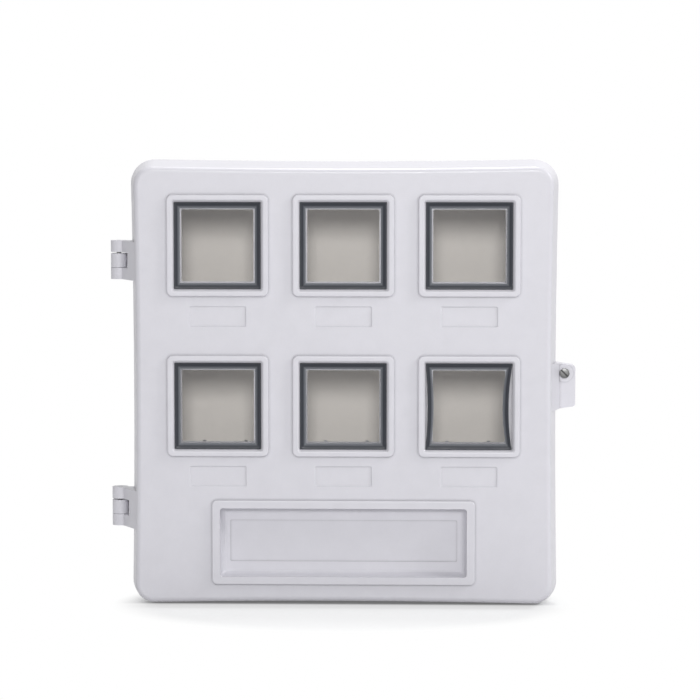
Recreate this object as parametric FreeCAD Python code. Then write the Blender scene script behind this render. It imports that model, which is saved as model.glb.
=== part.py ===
import FreeCAD, Part
import math
import os

# Six-position electric meter box with a hinged cover, in millimetres.
# X runs to the right, Y into the wall and Z up. The wall is the plane Y = 0.

V = FreeCAD.Vector
OUTWARD = V(0, -1, 0)
UP = V(0, 0, 1)

# Windows
window_columns = 3
window_rows = 2
window_pitch_x = 157.6
window_pitch_z = 201.6
seat_half = 54.2
seat_corner = 1.5
seat_depth = 4.0
bead_slope = 3.2
bead_breadth = 7.0
bead_corner = 8.0
bead_height = 4.5
bead_draft = 1.0
bead_round = 1.8
mouth_corner = 3.5
ledge_breadth = 9.0
ledge_thickness = 3.0
sight_corner = 2.0
pane_thickness = 3.0
pane_margin = 0.3
well_wall = 4.0

# Glazing seals
glazing_width = 7.3
glazing_crest = 1.2
glazing_heel_height = 2.8
glazing_toe_height = 0.8
loose_seal_number = 6
loose_seal_right_bow = 7.0
loose_seal_left_bow = 2.5
loose_seal_lean = 3.5

# Label pockets under the windows
label_width = 72.0
label_height = 26.4
label_depth = 1.2
label_slope = 1.4
label_corner = 2.0
label_gap = 11.3

# Name plate recess
plate_floor_width = 295.0
plate_floor_height = 75.0
plate_floor_corner = 2.0
plate_floor_depth = 16.0
plate_field_margin_x = 4.0
plate_field_margin_z = 11.0
plate_field_depth = 1.2
plate_slope_x = 8.0
plate_slope_z = 6.0
plate_slope_corner = 2.0
plate_rim_breadth = 10.0
plate_rim_rise = 4.0
plate_rim_round = 1.6
# Share of the wall's height, and how far it has come in there
plate_curve = ((0.0, 0.0), (0.5, 0.14), (0.8, 0.4), (0.95, 0.69), (1.0, 1.0))

# Plain borders of the face round its windows and plate recess
side_border = 48.0
top_border = 41.9
label_border = 54.7
bottom_border = 31.0

# Rim of the box
rim_corner = 30.0
rim_bow = 2.5

# Base
base_depth = 105.0
pad_height = 3.0
pad_radius = 12.0
base_wall = 4.0
base_draft = 1.7
base_back_round = 3.0
flange_width = 8.0
flange_thickness = 8.0
lip_step = 0.5
lip_height = 6.0
seal_groove_depth = 2.5
seal_groove_margin = 2.5
seal_free_gap = 0.3
parting_gap = 0.6

# Fixing to the wall
wall_hole_inset = 34.0
wall_hole_radius = 4.5
wall_boss_height = 3.0

# Cover
cover_depth = 52.4
cover_wall = 4.5
cover_band = 5.0
cover_taper = 8.0
cover_inner_round = 2.0
rib_thickness = 3.0
rib_height = 8.0

# Hinges
upper_hinge_inset = 127.5
lower_hinge_inset = 122.8
knuckle_radius = 10.3
knuckle_height = 17.6
knuckle_gap = 3.0
ear_height = 14.6
ear_top_gap = 1.8
ear_low_gap = 0.4
hinge_web = 3.0
hinge_root = 3.5
pin_radius = 3.0
pin_running_fit = 0.05
pin_end_gap = 0.4

# Webs that carry the hinge ears and the latch up to the face
web_inset = 10.2
web_crest = 1.2
web_sink = 3.0
web_bury = 0.8
hinge_web_reach = 11.5
latch_web_reach = 3.0

# Latch and lock
latch_top_z = 26.5
latch_bottom_z = -32.6
latch_slope = 4.0
latch_corner = 4.0
latch_margin = 2.8
latch_thickness = 11.4
latch_base_thickness = 12.0
lock_reach = 8.6
lock_z = 13.4
lock_boss_radius = 11.0
lock_boss_height = 1.0
lock_recess_radius = 6.0
lock_recess_roof = 2.4
lock_hole_fit = 0.3
lock_head_room = 0.5
thread_radius = 3.0
screw_radius = 2.7
screw_engagement = 6.5
screw_head_radius = 6.2
screw_head_height = 4.0
screw_head_bevel = 0.7
screw_slot_width = 1.6
screw_slot_depth = 1.8
screw_slot_angle = 45.0
screw_head_gap = 0.05
groove_depth = 0.5
clip_radius = 5.2
clip_thickness = 0.8
clip_play = 0.1
clip_bore_fit = 0.05
clip_clearance = 0.1
insert_radius = 5.0
insert_length = 9.0
insert_collar_radius = 6.5
insert_collar_height = 1.5

# Meter board
board_side_overlap = 15.3
board_top_overlap = 18.3
board_bottom_overlap = 48.3
board_thickness = 5.0
board_corner = 6.0
board_stand_off = 13.0
board_boss_radius = 7.0
board_screw_inset_x = 17.0
board_screw_inset_z = 14.0
hanger_gap = 8.3
hanger_shank = 5.0
slot_gap = 25.3
slot_spread = 27.0
slot_length = 24.0
slot_width = 5.5
slot_corner = 2.6

# Screws of the inside
small_screw_radius = 2.5
small_screw_bite = 7.0
small_head_radius = 4.75
small_head_height = 3.0
small_head_bevel = 1.2
terminal_radius = 2.0
terminal_head_radius = 3.4
terminal_head_height = 2.5
terminal_shank = 3.0
bar_screw_bite = 6.0

# Breaker rail
rail_side_gap = 70.0
rail_rise = 117.5
rail_width = 35.0
rail_depth = 7.5
rail_crown = 25.0
rail_sheet = 1.2
rail_stand_off = 20.0
rail_screw_inset = 30.0
rail_slot_length = 15.0
rail_slot_width = 6.2
rail_slot_pitch = 25.0

# Neutral and earth bars
terminal_count = 8
terminal_pitch = 13.0
wire_hole_radius = 2.8
bar_size = 9.0
bar_end = 19.5
bar_side_gap = 80.0
bar_rise = 57.5
bar_stand_off = 24.0
bar_foot_radius = 8.0
bar_foot_inset = 8.0

# Cable entries
entry_count = 4
entry_radius = 20.0
entry_back_gap = 25.0
small_entry_radius = 11.0
small_entry_side_gap = 58.0
small_entry_gap = 62.0
entry_ring = 4.0
entry_ring_height = 9.0
grommet_lip = 3.0
grommet_skin = 2.0
grommet_step = 5.0
grommet_bevel = 1.0

# How near two levels are when they count as one
same_level = 0.01

# Face, from its windows and plate recess outward
mouth_half = seat_half + bead_slope
bead_half = mouth_half + bead_breadth
sight_half = seat_half - ledge_breadth
plate_mouth_width = plate_floor_width + 2 * plate_slope_x
plate_mouth_height = plate_floor_height + 2 * plate_slope_z
plate_mouth_corner = plate_floor_corner + plate_slope_corner
plate_rim_width = plate_mouth_width + 2 * plate_rim_breadth
plate_rim_height = plate_mouth_height + 2 * plate_rim_breadth
plate_rim_corner = plate_mouth_corner + plate_slope_corner
window_span_x = (window_columns - 1) * window_pitch_x
window_span_z = (window_rows - 1) * window_pitch_z
rim_half_x = window_span_x / 2 + bead_half + side_border
rim_half_z = (
    top_border + 2 * bead_half + window_span_z + label_border + plate_rim_height + bottom_border
) / 2
window_top_z = rim_half_z - top_border - bead_half
window_low_z = window_top_z - window_span_z
plate_middle_z = bottom_border + plate_rim_height / 2 - rim_half_z
label_drop = bead_half + label_gap + label_height / 2
cover_edge_round = cover_wall + cover_inner_round

# Depths, from the wall outward
floor_y = -(pad_height + base_wall)
parting_y = -base_depth
rim_y = parting_y - parting_gap
face_y = rim_y - cover_depth
pane_y = face_y + seat_depth - pane_thickness
board_back_y = floor_y - board_stand_off
board_front_y = board_back_y - board_thickness
rail_back_y = floor_y - rail_stand_off
bar_foot_y = floor_y - rib_height
bar_back_y = bar_foot_y - bar_stand_off
bar_front_y = bar_back_y - bar_size

# Insets of the base's own outlines
lip_inset = flange_width + lip_step
base_inner_inset = flange_width + base_wall

# Hinges and latch
hinge_reach = knuckle_radius + hinge_web + knuckle_gap
hinge_x = -(rim_half_x + hinge_reach)
hinge_y = (parting_y + rim_y) / 2
hinge_middles = (rim_half_z - upper_hinge_inset, lower_hinge_inset - rim_half_z)
lock_x = rim_half_x + lock_reach
latch_reach = lock_reach + lock_boss_radius + latch_margin
latch_face_y = rim_y - latch_thickness
lock_boss_y = latch_face_y - lock_boss_height

# Inside
board_half_x = window_span_x / 2 + sight_half + board_side_overlap
board_top_z = window_top_z + sight_half + board_top_overlap
board_low_z = window_low_z - sight_half - board_bottom_overlap
hanger_rise = sight_half + hanger_gap
slot_drop = sight_half + slot_gap
rail_middle_z = rail_rise - rim_half_z
rail_half = rim_half_x - rail_side_gap
bar_middle_z = bar_rise - rim_half_z
bar_length = (terminal_count - 1) * terminal_pitch + 2 * bar_end
bar_middle_x = rim_half_x - bar_side_gap - bar_length / 2
entry_y = floor_y - entry_back_gap - entry_radius
entry_low_z = flange_width - lip_step - rim_half_z
entry_high_z = entry_low_z + entry_ring_height
small_entry_x = rim_half_x - small_entry_side_gap
entry_span = 2 * (small_entry_x - small_entry_gap)


# Shapes used all over

def outline(half_x, half_z, radius, bow, y, at=(0.0, 0.0)):
    """Closed wire at depth y. Its sides bow inward and run smoothly into the round corners."""
    arm_x = half_x - radius
    arm_z = half_z - radius
    turn_x = 2 * math.atan(bow / arm_z)
    turn_z = 2 * math.atan(bow / arm_x)
    quarter = math.pi / 4

    def point(x, z):
        return V(at[0] + x, y, at[1] + z)

    def corner(side_x, side_z):
        on_side = (arm_x + radius * math.cos(turn_x), arm_z - radius * math.sin(turn_x))
        on_turn = (arm_x + radius * math.cos(quarter), arm_z + radius * math.sin(quarter))
        on_top = (arm_x - radius * math.sin(turn_z), arm_z + radius * math.cos(turn_z))
        return [point(side_x * x, side_z * z) for x, z in (on_side, on_turn, on_top)]

    def side(start, middle, end):
        if bow == 0:
            return Part.makeLine(start, end)
        return Part.Arc(start, middle, end).toShape()

    right_top = corner(1, 1)
    left_top = corner(-1, 1)
    left_low = corner(-1, -1)
    right_low = corner(1, -1)
    edges = [
        Part.Arc(*right_top).toShape(),
        side(right_top[2], point(0, half_z - bow), left_top[2]),
        Part.Arc(left_top[2], left_top[1], left_top[0]).toShape(),
        side(left_top[0], point(bow - half_x, 0), left_low[0]),
        Part.Arc(*left_low).toShape(),
        side(left_low[2], point(0, bow - half_z), right_low[2]),
        Part.Arc(right_low[2], right_low[1], right_low[0]).toShape(),
        side(right_low[0], point(half_x - bow, 0), right_top[0]),
    ]
    return Part.Wire(edges)


def section(inset, y):
    """The box's outline, brought in by inset on every side."""
    return outline(rim_half_x - inset, rim_half_z - inset, rim_corner - inset, rim_bow, y)


def frame_line(width, height, radius, y, at=(0.0, 0.0)):
    """A straight-sided rounded rectangle of full width and height."""
    return outline(width / 2, height / 2, radius, 0, y, at)


def prism(wire, depth):
    """Solid from a wire at some depth, run inward by depth or outward where that is negative."""
    return Part.Face(wire).extrude(V(0, depth, 0))


def taper(first, second):
    """Solid with straight slopes between two wires."""
    return Part.makeLoft([first, second], True, True)


def block(low, high):
    return Part.makeBox(high[0] - low[0], high[1] - low[1], high[2] - low[2], V(*low))


def rod(radius, start, end):
    run = V(*end) - V(*start)
    return Part.makeCylinder(radius, run.Length, V(*start), run)


def fused(shapes):
    whole = shapes[0].multiFuse(shapes[1:]) if len(shapes) > 1 else shapes[0]
    return whole.removeSplitter()


def cut_all(shape, tools):
    return shape.cut(Part.makeCompound(tools))


def edges_at(shape, y):
    """Edges of a shape that lie wholly at depth y."""
    found = []
    for edge in shape.Edges:
        box = edge.BoundBox
        if max(abs(box.YMin - y), abs(box.YMax - y)) < same_level:
            found.append(edge)
    return found


def window_places():
    places = []
    for row in range(window_rows):
        for column in range(window_columns):
            x = (column - (window_columns - 1) / 2) * window_pitch_x
            places.append((x, window_top_z - row * window_pitch_z))
    return places


def bevelled_head(radius, height, bevel, x, seat_y, z):
    """Screw head seated at seat_y, with its outer edge bevelled."""
    shoulder_y = seat_y - height + bevel
    wall = rod(radius, (x, shoulder_y, z), (x, seat_y, z))
    crown = Part.makeCone(radius, radius - bevel, bevel, V(x, shoulder_y, z), OUTWARD)
    return wall.fuse(crown)


def small_screw(x, seat_y, z, length):
    """Screw of the inside, pointing at the wall, with its head seated at seat_y."""
    head = bevelled_head(small_head_radius, small_head_height, small_head_bevel, x, seat_y, z)
    shank = rod(small_screw_radius, (x, seat_y, z), (x, seat_y + length, z))
    return fused([head, shank])


# Base

def knuckle_block(z_low, z_high, front_y, back_y, root_x):
    """A hinge knuckle with its arm towards the box."""
    barrel = rod(knuckle_radius, (hinge_x, hinge_y, z_low), (hinge_x, hinge_y, z_high))
    arm = block((hinge_x, front_y, z_low), (root_x, back_y, z_high))
    return barrel.fuse(arm)


def base_hinges():
    root_x = -(rim_half_x - hinge_root)
    back_y = hinge_y + knuckle_radius
    half = knuckle_height / 2
    return [
        knuckle_block(middle - half, middle + half, parting_y, back_y, root_x)
        for middle in hinge_middles
    ]


def latch_block(root, front_y, back_y):
    """Block on the right side, narrower towards its free edge."""
    flange_root = rim_half_x - flange_width / 2
    tip = rim_half_x + latch_reach
    spread = latch_slope * (flange_root - root) / (tip - flange_root)
    corners = [
        V(root, front_y, latch_bottom_z - spread),
        V(tip, front_y, latch_bottom_z + latch_slope),
        V(tip, front_y, latch_top_z - latch_slope),
        V(root, front_y, latch_top_z + spread),
    ]
    return Part.Face(Part.makePolygon(corners + corners[:1])).extrude(V(0, back_y - front_y, 0))


def latch_plate(front_y, back_y):
    """Tab of the latch, with its two free corners rounded."""
    plate = latch_block(rim_half_x - flange_width / 2, front_y, back_y)
    tip = rim_half_x + latch_reach
    upright = [
        edge
        for edge in plate.Edges
        if edge.BoundBox.YLength > 1 and edge.BoundBox.XMin > tip - 0.01
    ]
    return plate.makeFillet(latch_corner, upright)


def entry_places():
    """Middle and bore radius of each cable entry along the bottom."""
    step = entry_span / (entry_count - 1)
    places = [(index * step - entry_span / 2, entry_radius) for index in range(entry_count)]
    return places + [(-small_entry_x, small_entry_radius), (small_entry_x, small_entry_radius)]


def board_screw_places():
    half_x = board_half_x - board_screw_inset_x
    top = board_top_z - board_screw_inset_z
    low = board_low_z + board_screw_inset_z
    return [(side * half_x, z) for z in (top, (top + low) / 2, low) for side in (-1, 1)]


def rail_screw_places():
    half = rail_half - rail_screw_inset
    return [(-half, rail_middle_z), (half, rail_middle_z)]


def bar_foot_places():
    half = bar_length / 2 - bar_foot_inset
    middles = (-bar_middle_x, bar_middle_x)
    return [(middle + side * half, bar_middle_z) for middle in middles for side in (-1, 1)]


def wall_hole_places():
    half_x = rim_half_x - wall_hole_inset
    half_z = rim_half_z - wall_hole_inset
    return [(side_x * half_x, side_z * half_z) for side_x in (-1, 1) for side_z in (-1, 1)]


def base_shell():
    flange_back = parting_y + flange_thickness
    tray = taper(
        section(flange_width, flange_back),
        section(flange_width + base_draft, -pad_height),
    )
    tray = tray.makeFillet(base_back_round, edges_at(tray, -pad_height))
    flange = prism(section(0, parting_y), flange_thickness)
    lip = prism(section(lip_inset, parting_y - lip_height), lip_height + flange_thickness)
    groove = prism(section(seal_groove_margin, parting_y), seal_groove_depth).cut(
        prism(section(lip_inset, parting_y), seal_groove_depth)
    )
    body = fused([tray, flange, lip]).cut(groove)
    straight = prism(
        section(base_inner_inset, parting_y - lip_height), lip_height + flange_thickness
    )
    hollow = taper(
        section(base_inner_inset, flange_back),
        section(base_inner_inset + base_draft, floor_y),
    )
    return body.cut(straight).cut(hollow)


def base_ribs():
    """Ribs on the floor of the base that tie the board bosses together."""
    half_x = board_half_x - board_screw_inset_x
    places = board_screw_places()
    top_z = places[0][1]
    low_z = places[-1][1]
    front = floor_y - rib_height
    half = rib_thickness / 2
    ribs = []
    for z in sorted({z for x, z in places}):
        ribs.append(block((-half_x, front, z - half), (half_x, floor_y, z + half)))
    for x in (-half_x, 0, half_x):
        ribs.append(block((x - half, front, low_z), (x + half, floor_y, top_z)))
    return ribs


def boss(places, front_y, bite, radius=board_boss_radius):
    """Bosses on the floor of the base, and the blind holes for their screws."""
    raised = [rod(radius, (x, front_y, z), (x, floor_y, z)) for x, z in places]
    holes = [rod(small_screw_radius, (x, front_y, z), (x, front_y + bite, z)) for x, z in places]
    return raised, holes


def base_box():
    raised = [base_shell()] + base_hinges() + base_ribs()
    raised.append(latch_plate(parting_y, parting_y + latch_base_thickness))
    holes = [insert_body()]
    boss_y = floor_y - wall_boss_height
    for x, z in wall_hole_places():
        raised.append(rod(pad_radius, (x, -pad_height, z), (x, 0, z)))
        raised.append(rod(pad_radius, (x, boss_y, z), (x, floor_y, z)))
        holes.append(rod(wall_hole_radius, (x, boss_y, z), (x, 0, z)))
    for places, front_y, bite in (
        (board_screw_places(), board_back_y, small_screw_bite),
        (rail_screw_places(), rail_back_y, small_screw_bite),
        (bar_foot_places(), bar_foot_y, bar_screw_bite),
    ):
        bosses, bores = boss(places, front_y, bite)
        raised += bosses
        holes += bores
    for x, radius in entry_places():
        low = (x, entry_y, entry_low_z)
        high = (x, entry_y, entry_high_z)
        raised.append(rod(radius + entry_ring, low, high))
        holes.append(rod(radius, low, high))
    for middle in hinge_middles:
        half = knuckle_height / 2
        low = (hinge_x, hinge_y, middle - half)
        holes.append(rod(pin_radius, low, (hinge_x, hinge_y, middle + half)))
    return cut_all(fused(raised), holes)


def door_seal():
    back = parting_y + seal_groove_depth
    height = seal_groove_depth + seal_free_gap
    ring = prism(section(seal_groove_margin, back), -height)
    return ring.cut(prism(section(lip_inset, back), -height))


# Inside of the base

def meter_board():
    middle = (0, (board_top_z + board_low_z) / 2)
    line = frame_line(
        2 * board_half_x, board_top_z - board_low_z, board_corner, board_front_y, middle
    )
    plate = prism(line, board_thickness)
    holes = []
    hangers = [(x, z + hanger_rise) for x, z in window_places()]
    for x, z in board_screw_places() + hangers:
        holes.append(rod(small_screw_radius, (x, board_front_y, z), (x, board_back_y, z)))
    for x, z in window_places():
        for side in (-1, 1):
            at = (x + side * slot_spread, z - slot_drop)
            line = frame_line(slot_width, slot_length, slot_corner, board_front_y, at)
            holes.append(prism(line, board_thickness))
    return cut_all(plate, holes)


def board_screws():
    length = board_thickness + small_screw_bite
    return [small_screw(x, board_front_y, z, length) for x, z in board_screw_places()]


def meter_hanger_screws():
    """Screws that a meter hangs from, standing proud of the board by their shank."""
    seat = board_front_y - hanger_shank
    length = hanger_shank + board_thickness
    return [small_screw(x, seat, z + hanger_rise, length) for x, z in window_places()]


def rail_slot_xs():
    """Middles of the slots in the rail's web, between its two screws."""
    room = rail_half - rail_screw_inset - rail_slot_pitch
    count = int(2 * room / rail_slot_pitch) + 1
    return [(index - (count - 1) / 2) * rail_slot_pitch for index in range(count)]


def breaker_rail():
    """Top-hat rail with slots along its web."""
    front = rail_back_y - rail_depth
    web = rail_back_y - rail_sheet
    half = rail_width / 2
    crown = rail_crown / 2
    upper = [
        (front, half),
        (front, crown - rail_sheet),
        (web, crown - rail_sheet),
        (web, 0),
        (rail_back_y, 0),
        (rail_back_y, crown),
        (front + rail_sheet, crown),
        (front + rail_sheet, half),
    ]

    def half_rail(sign):
        points = [V(-rail_half, y, rail_middle_z + sign * z) for y, z in upper]
        return Part.Face(Part.makePolygon(points + points[:1])).extrude(V(2 * rail_half, 0, 0))

    rail = fused([half_rail(1), half_rail(-1)])
    holes = [
        rod(small_screw_radius, (x, web, z), (x, rail_back_y, z)) for x, z in rail_screw_places()
    ]
    for x in rail_slot_xs():
        at = (x, rail_middle_z)
        radius = rail_slot_width / 2 - same_level
        line = frame_line(rail_slot_length, rail_slot_width, radius, web, at)
        holes.append(prism(line, rail_sheet))
    return cut_all(rail, holes)


def rail_screws():
    seat = rail_back_y - rail_sheet
    length = rail_sheet + small_screw_bite
    return [small_screw(x, seat, z, length) for x, z in rail_screw_places()]


def terminal_xs(middle):
    half = (terminal_count - 1) / 2
    return [middle + (index - half) * terminal_pitch for index in range(terminal_count)]


def terminal_bar(middle):
    """Brass bar with a row of wire holes and one clamping screw for each."""
    half = bar_length / 2
    low = bar_middle_z - bar_size / 2
    high = bar_middle_z + bar_size / 2
    bar = block((middle - half, bar_front_y, low), (middle + half, bar_back_y, high))
    holes = []
    core_y = (bar_front_y + bar_back_y) / 2
    for x in terminal_xs(middle):
        holes.append(rod(wire_hole_radius, (x, core_y, low), (x, core_y, high)))
        start = (x, bar_front_y, bar_middle_z)
        holes.append(rod(terminal_radius, start, (x, core_y, bar_middle_z)))
    for x, z in bar_foot_places():
        holes.append(rod(small_screw_radius, (x, bar_front_y, z), (x, bar_back_y, z)))
    return cut_all(bar, holes)


def terminal_screws(middle):
    screws = []
    for x in terminal_xs(middle):
        seat = (x, bar_front_y, bar_middle_z)
        top = (x, bar_front_y - terminal_head_height, bar_middle_z)
        end = (x, bar_front_y + terminal_shank, bar_middle_z)
        head = rod(terminal_head_radius, top, seat)
        screws.append(fused([head, rod(terminal_radius, seat, end)]))
    return screws


def bar_feet():
    """Pillars between the base and the two bars, with the bore for their screws."""
    feet = []
    for x, z in bar_foot_places():
        start = (x, bar_back_y, z)
        end = (x, bar_foot_y, z)
        feet.append(rod(bar_foot_radius, start, end).cut(rod(small_screw_radius, start, end)))
    return feet


def bar_screws():
    length = bar_size + bar_stand_off + bar_screw_bite
    return [small_screw(x, bar_front_y, z, length) for x, z in bar_foot_places()]


def cable_grommets():
    """Blind rubber grommets, clipped over the rings of the cable entries."""
    low = entry_low_z
    high = entry_high_z
    grommets = []
    for x, radius in entry_places():
        tip = radius - grommet_skin - grommet_step
        profile = [
            (0, low - grommet_skin - grommet_step),
            (tip, low - grommet_skin - grommet_step),
            (radius - grommet_skin, low - grommet_skin),
            (radius + grommet_lip, low - grommet_skin),
            (radius + grommet_lip, low),
            (radius, low),
            (radius, high),
            (radius + grommet_lip, high),
            (radius + grommet_lip - grommet_bevel, high + grommet_skin),
            (radius - grommet_skin, high + grommet_skin),
            (radius - grommet_skin, low),
            (tip, low - grommet_step),
            (0, low - grommet_step),
        ]
        points = [V(x + r, entry_y, z) for r, z in profile]
        face = Part.Face(Part.makePolygon(points + points[:1]))
        grommets.append(face.revolve(V(x, entry_y, 0), UP, 360))
    return grommets


# Hinge pins and lock insert

def ear_levels(middle):
    """Lower and upper ear of one hinge, each as a pair of heights."""
    low = middle - knuckle_height / 2 - ear_low_gap
    high = middle + knuckle_height / 2 + ear_top_gap
    return [(low - ear_height, low), (high, high + ear_height)]


def hinge_pin(middle):
    """Headless pin, driven in a little below the ends of the ears."""
    low_ear, high_ear = ear_levels(middle)
    low = (hinge_x, hinge_y, low_ear[0] + pin_end_gap)
    return rod(pin_radius, low, (hinge_x, hinge_y, high_ear[1] - pin_end_gap))


def insert_body():
    """Outer form of the brass insert, which is also the hole that it fills."""
    collar = rod(
        insert_collar_radius,
        (lock_x, parting_y, lock_z),
        (lock_x, parting_y + insert_collar_height, lock_z),
    )
    end_y = parting_y + insert_length
    stem = rod(insert_radius, (lock_x, parting_y, lock_z), (lock_x, end_y, lock_z))
    return fused([collar, stem])


def lock_insert():
    bore = rod(
        thread_radius,
        (lock_x, parting_y, lock_z),
        (lock_x, parting_y + insert_length, lock_z),
    )
    return insert_body().cut(bore)


# Cover

def cover_shell():
    band_y = rim_y - cover_band
    band = prism(section(0, rim_y), -cover_band)
    slope = taper(section(0, band_y), section(cover_taper, face_y))
    outer = fused([band, slope])
    outer = outer.makeFillet(cover_edge_round, edges_at(outer, face_y))
    back_y = face_y + cover_wall
    share = (band_y - back_y) / (band_y - face_y)
    inner_band = prism(section(cover_wall, rim_y), -cover_band)
    inner_slope = taper(
        section(cover_wall, band_y),
        section(cover_wall + cover_taper * share, back_y),
    )
    inner = fused([inner_band, inner_slope])
    inner = inner.makeFillet(cover_edge_round - cover_wall, edges_at(inner, back_y))
    return outer.cut(inner)


def square_line(half, radius, y, at):
    return outline(half, half, radius, 0, y, at)


def window_bead(at):
    """Raised frame round one window, rounded along its crest."""
    crest = face_y - bead_height
    root = face_y + cover_wall / 2
    ring = taper(
        square_line(bead_half, bead_corner, root, at),
        square_line(bead_half - bead_draft, bead_corner - bead_draft, crest, at),
    )
    slope = (mouth_half - seat_half) / bead_height
    inside = taper(
        square_line(seat_half - slope * cover_wall / 2, seat_corner, root, at),
        square_line(mouth_half, mouth_corner, crest, at),
    )
    ring = ring.cut(inside)
    return ring.makeFillet(bead_round, edges_at(ring, crest))


def window_well(at):
    """Block behind the face that carries the ledge for one pane."""
    depth = seat_depth + ledge_thickness
    return prism(square_line(seat_half + well_wall, bead_corner, face_y + cover_wall / 2, at),
                 depth - cover_wall / 2)


def window_cuts(at):
    funnel = taper(
        square_line(mouth_half, mouth_corner, face_y - bead_height, at),
        square_line(seat_half, seat_corner, face_y, at),
    )
    seat = prism(square_line(seat_half, seat_corner, face_y, at), seat_depth)
    sight = prism(
        square_line(sight_half, sight_corner, face_y, at), seat_depth + ledge_thickness
    )
    return [funnel, seat, sight]


def plate_rim():
    at = (0, plate_middle_z)
    crest = face_y - plate_rim_rise
    root = face_y + cover_wall / 2
    ring = prism(frame_line(plate_rim_width, plate_rim_height, plate_rim_corner, root, at),
                 crest - root)
    hole = prism(frame_line(plate_mouth_width, plate_mouth_height, plate_mouth_corner, root, at),
                 crest - root)
    ring = ring.cut(hole)
    return ring.makeFillet(plate_rim_round, edges_at(ring, crest))


def plate_bowl(grow, sink):
    """Block of the name plate recess, its walls curving in to the floor. It is grown on all
    sides, and sunk further at the floor, for the outside of the wall."""
    at = (0, plate_middle_z)
    front = face_y - plate_rim_rise
    height = plate_floor_depth + plate_rim_rise
    lines = []
    for rise, run in plate_curve:
        lines.append(
            frame_line(
                plate_mouth_width - 2 * plate_slope_x * run + 2 * grow,
                plate_mouth_height - 2 * plate_slope_z * run + 2 * grow,
                plate_mouth_corner - plate_slope_corner * run + grow,
                front + (height + sink) * rise,
                at,
            )
        )
    return Part.makeLoft(lines, True, True)


def plate_cuts():
    at = (0, plate_middle_z)
    floor = face_y + plate_floor_depth
    width = plate_floor_width - 2 * plate_field_margin_x
    height = plate_floor_height - 2 * plate_field_margin_z
    field = frame_line(width, height, plate_floor_corner, floor, at)
    return [plate_bowl(0, 0), prism(field, plate_field_depth)]


def label_pockets():
    pockets = []
    for x, z in window_places():
        at = (x, z - label_drop)
        mouth = frame_line(label_width, label_height, label_corner, face_y, at)
        width = label_width - 2 * label_slope
        height = label_height - 2 * label_slope
        floor = frame_line(width, height, label_corner, face_y + label_depth, at)
        pockets.append(taper(mouth, floor))
    return pockets


def cover_ribs():
    """Ribs behind the face, between the windows and above the name plate recess."""
    back = face_y + cover_wall
    tip = back + rib_height
    half = rib_thickness / 2
    side = rim_half_x - cover_taper - cover_wall
    top = rim_half_z - cover_taper - cover_wall
    low = plate_middle_z + plate_rim_height / 2
    ribs = []
    root = back - cover_wall / 2
    for column in range(window_columns - 1):
        x = (column + 1 - window_columns / 2) * window_pitch_x
        ribs.append(block((x - half, root, low), (x + half, tip, top)))
    row_middle = (window_top_z + window_low_z) / 2
    well_bottom = window_low_z - seat_half - well_wall
    for z in (row_middle, (well_bottom + low) / 2):
        ribs.append(block((-side, root, z - half), (side, tip, z + half)))
    return ribs


def side_bow(z):
    """How far the side of the rim has bowed in at a height."""
    return rim_bow * (1 - (z / (rim_half_z - rim_corner)) ** 2)


def side_web(side, reach, front_y, low_z, high_z):
    """Sloping web from a lug at the rim up the side wall to the edge of the face."""
    wall_x = rim_half_x - side_bow((low_z + high_z) / 2)
    crest_x = wall_x - web_inset
    line = [
        (rim_half_x + reach, front_y),
        (crest_x, face_y + web_crest),
        (crest_x - web_bury, face_y + cover_wall - web_bury),
        (wall_x - web_sink, front_y + web_sink),
        (rim_half_x + reach, front_y + web_sink),
    ]
    points = [V(side * x, y, low_z) for x, y in line]
    return Part.Face(Part.makePolygon(points + points[:1])).extrude(V(0, 0, high_z - low_z))


def cover_hinges():
    pieces = []
    root_x = -(rim_half_x - hinge_root)
    web_x = -(rim_half_x + hinge_web)
    front = hinge_y - knuckle_radius
    for middle in hinge_middles:
        levels = ear_levels(middle)
        low = levels[0][0]
        high = levels[1][1]
        for ear_low, ear_high in levels:
            pieces.append(knuckle_block(ear_low, ear_high, front, rim_y, root_x))
        pieces.append(block((web_x, front, low), (root_x, rim_y, high)))
        notch = block((hinge_x, face_y, levels[0][1]), (web_x, rim_y, levels[1][0]))
        pieces.append(side_web(-1, hinge_web_reach, front, low, high).cut(notch))
    return pieces


def cover_latch():
    plate = latch_plate(latch_face_y, rim_y)
    boss = rod(lock_boss_radius, (lock_x, lock_boss_y, lock_z), (lock_x, latch_face_y, lock_z))
    low = latch_bottom_z - latch_slope
    high = latch_top_z + latch_slope
    web = side_web(1, latch_web_reach, latch_face_y, low, high)
    side = latch_block(rim_half_x - web_inset - 2 * rim_bow, face_y, rim_y)
    return [plate, boss, web.common(side)]


def lock_bores():
    recess_top = lock_boss_y + lock_boss_height + lock_recess_roof
    radius = thread_radius + lock_hole_fit
    hole = rod(radius, (lock_x, lock_boss_y, lock_z), (lock_x, rim_y, lock_z))
    recess = rod(lock_recess_radius, (lock_x, recess_top, lock_z), (lock_x, rim_y, lock_z))
    reach = screw_head_radius + lock_head_room
    head_space = rod(reach, (lock_x, face_y, lock_z), (lock_x, lock_boss_y, lock_z))
    return [hole, recess, head_space]


def hinge_bores():
    bores = []
    for middle in hinge_middles:
        for low, high in ear_levels(middle):
            bores.append(
                rod(pin_radius + pin_running_fit, (hinge_x, hinge_y, low), (hinge_x, hinge_y, high))
            )
    return bores


def cover():
    places = window_places()
    raised = [cover_shell()]
    raised += [window_bead(at) for at in places]
    raised += [window_well(at) for at in places]
    raised.append(plate_rim())
    raised.append(plate_bowl(cover_wall, cover_wall + plate_field_depth))
    raised += cover_ribs()
    raised += cover_hinges()
    raised += cover_latch()
    cuts = []
    for at in places:
        cuts += window_cuts(at)
    cuts += plate_cuts()
    cuts += label_pockets()
    cuts += lock_bores()
    cuts += hinge_bores()
    shape = fused(raised)
    for tool in cuts:
        shape = shape.cut(tool)
    return shape


# Glazing

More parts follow.
